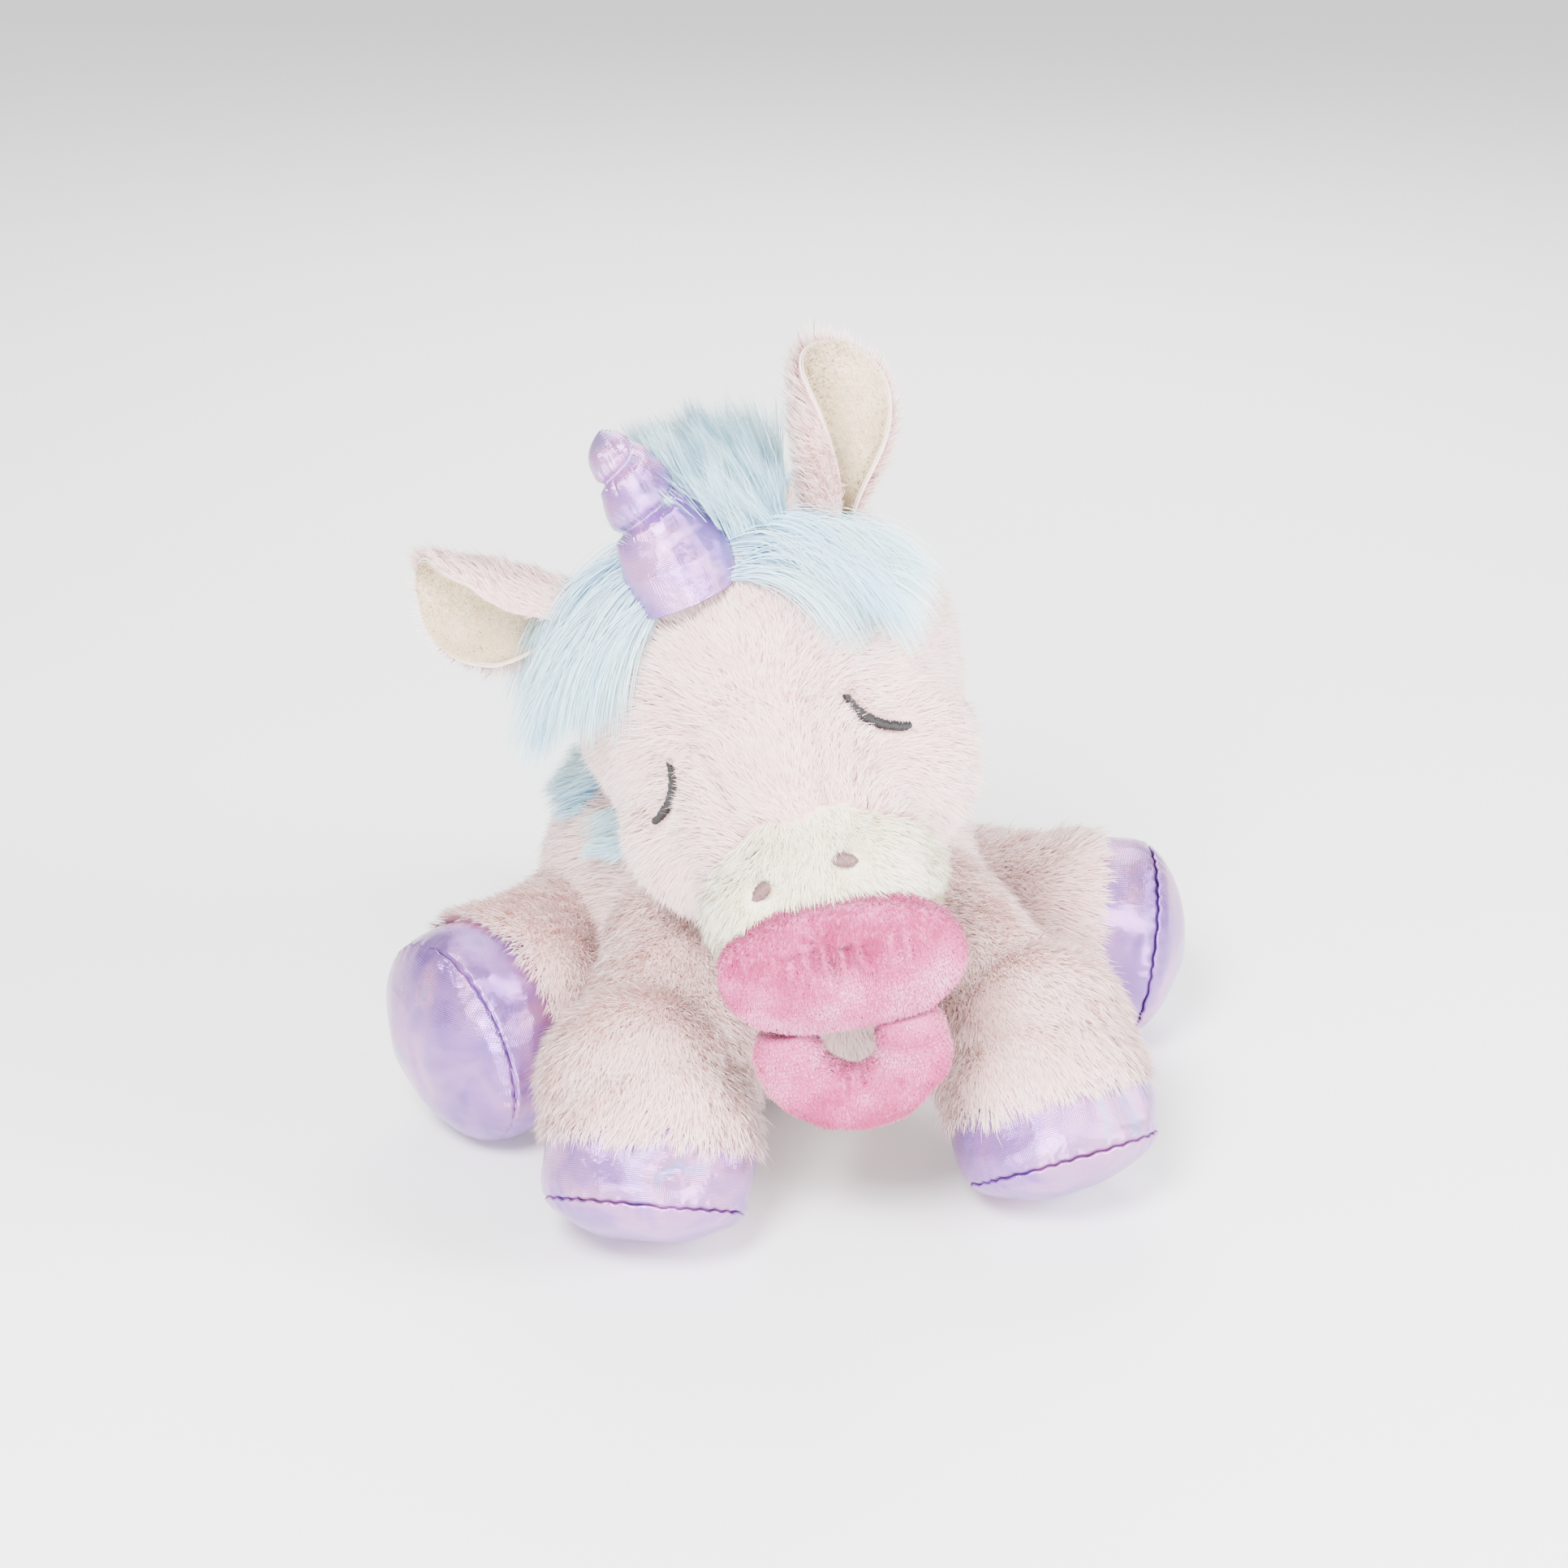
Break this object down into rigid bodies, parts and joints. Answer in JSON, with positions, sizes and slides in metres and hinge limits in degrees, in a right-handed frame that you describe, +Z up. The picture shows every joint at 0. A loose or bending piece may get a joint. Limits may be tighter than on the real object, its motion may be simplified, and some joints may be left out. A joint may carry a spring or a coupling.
{
  "type": "plush unicorn",
  "caption": "Stuffed plush unicorn lying on its belly, big head hanging forward, eyes closed, with a plush pacifier in its mouth and shiny cloth hooves and horn.",
  "frame": {"origin": "centre of the flat underside of the belly, in the plane the toy rests on", "axes": "+Z up, the toy faces -Y, +X to the right of someone facing the toy"},
  "size_m": [0.2912, 0.2903, 0.2915],
  "materials": {
    "fur_pink": "long soft pile",
    "stuffing": "loose fibre",
    "pellet_cloth": "plain weave",
    "mane_blue": "long soft pile",
    "muzzle_cream": "long soft pile",
    "velour_pink": "short ribbed velour pile",
    "thread_brown": "satin stitch",
    "thread_dark": "satin stitch",
    "ear_velour": "short ribbed velour pile",
    "foil_lilac": "iridescent metallic coating on woven cloth",
    "thread_lilac": "twisted thread"
  },
  "bodies": {
    "torso": {"torso_cover": "fur_pink", "torso_stuffing": "stuffing", "pellet_bag": "pellet_cloth", "neck_mane": "mane_blue"},
    "neck": {"neck_wad": "stuffing"},
    "head": {"head_cover": "fur_pink", "head_stuffing": "stuffing", "muzzle_panel": "muzzle_cream", "mouth_pocket": "velour_pink", "nostril_stitching": "thread_brown", "eye_stitching_left": "thread_dark", "eye_stitching_right": "thread_dark", "forelock": "mane_blue", "poll_mane": "mane_blue"},
    "ear_left": {"ear_left_outer": "fur_pink", "ear_left_lining": "ear_velour"},
    "ear_right": {"ear_right_outer": "fur_pink", "ear_right_lining": "ear_velour"},
    "horn": {"horn_cover": "foil_lilac", "horn_stuffing": "stuffing", "horn_thread": "thread_lilac"},
    "pacifier": {"pacifier_teat": "velour_pink", "shield_cover": "velour_pink", "shield_stuffing": "stuffing"},
    "ring": {"ring_cover": "velour_pink", "ring_stuffing": "stuffing"},
    "tail": {"tail_root": "fur_pink", "tail_hair": "mane_blue"},
    "front_left": {"front_left_leg_cover": "fur_pink", "front_left_leg_stuffing": "stuffing", "front_left_hoof_band": "foil_lilac", "front_left_hoof_sole": "foil_lilac"},
    "front_right": {"front_right_leg_cover": "fur_pink", "front_right_leg_stuffing": "stuffing", "front_right_hoof_band": "foil_lilac", "front_right_hoof_sole": "foil_lilac"},
    "hind_left": {"hind_left_leg_cover": "fur_pink", "hind_left_leg_stuffing": "stuffing", "hind_left_hoof_band": "foil_lilac", "hind_left_hoof_sole": "foil_lilac"},
    "hind_right": {"hind_right_leg_cover": "fur_pink", "hind_right_leg_stuffing": "stuffing", "hind_right_hoof_band": "foil_lilac", "hind_right_hoof_sole": "foil_lilac"}
  },
  "joints": [
    {"name": "head_nod", "type": "hinge", "parent": "torso", "child": "neck", "pos_m": [-0.01, -0.038, 0.109], "axis": [1, 0, 0], "range_deg": [-8, 8], "stiffness_Nm_per_rad": 3},
    {"name": "head_turn", "type": "hinge", "parent": "neck", "child": "head", "pos_m": [-0.01, -0.038, 0.109], "axis": [-0.0758, -0.4092, 0.9093], "range_deg": [-3, 8], "stiffness_Nm_per_rad": 3},
    {"name": "horn_bend", "type": "hinge", "parent": "head", "child": "horn", "pos_m": [-0.05101, -0.08621, 0.22265], "axis": [0.8891, -0.2382, 0.3907], "range_deg": [-10, 10], "stiffness_Nm_per_rad": 0.2},
    {"name": "ear_right_flop", "type": "hinge", "parent": "head", "child": "ear_right", "pos_m": [-0.00243, -0.08425, 0.233], "axis": [0.2907, 0.9534, -0.0802], "range_deg": [-8, 30], "stiffness_Nm_per_rad": 0.06},
    {"name": "ear_left_flop", "type": "hinge", "parent": "head", "child": "ear_left", "pos_m": [-0.0749, -0.05829, 0.20047], "axis": [0.2907, 0.9534, -0.0802], "range_deg": [-15, 40], "stiffness_Nm_per_rad": 0.06},
    {"name": "pacifier_pull", "type": "slide", "parent": "head", "child": "pacifier", "axis": [-0.2596, -0.9562, -0.1356], "range_m": [0, 0.028]},
    {"name": "ring_swing", "type": "hinge", "parent": "pacifier", "child": "ring", "pos_m": [-0.01094, -0.15677, 0.07998], "axis": [0.9318, -0.2849, 0.225], "range_deg": [-8, 20], "stiffness_Nm_per_rad": 0.1},
    {"name": "tail_wag", "type": "hinge", "parent": "torso", "child": "tail", "pos_m": [0, 0.079, 0.066], "axis": [0, 1, 0], "range_deg": [-25, 25], "stiffness_Nm_per_rad": 0.1},
    {"name": "front_left_swing", "type": "hinge", "parent": "torso", "child": "front_left", "pos_m": [-0.043, -0.06, 0.068], "axis": [1, 0, 0], "range_deg": [-12, 2], "stiffness_Nm_per_rad": 1.2},
    {"name": "front_right_swing", "type": "hinge", "parent": "torso", "child": "front_right", "pos_m": [0.043, -0.06, 0.068], "axis": [1, 0, 0], "range_deg": [-12, 2], "stiffness_Nm_per_rad": 1.2},
    {"name": "hind_left_swing", "type": "hinge", "parent": "torso", "child": "hind_left", "pos_m": [-0.066, -0.002, 0.045], "axis": [0, 0, 1], "range_deg": [-15, 0], "stiffness_Nm_per_rad": 1.2},
    {"name": "hind_right_swing", "type": "hinge", "parent": "torso", "child": "hind_right", "pos_m": [0.066, 0, 0.045], "axis": [0, 0, 1], "range_deg": [0, 12], "stiffness_Nm_per_rad": 1.2}
  ]
}
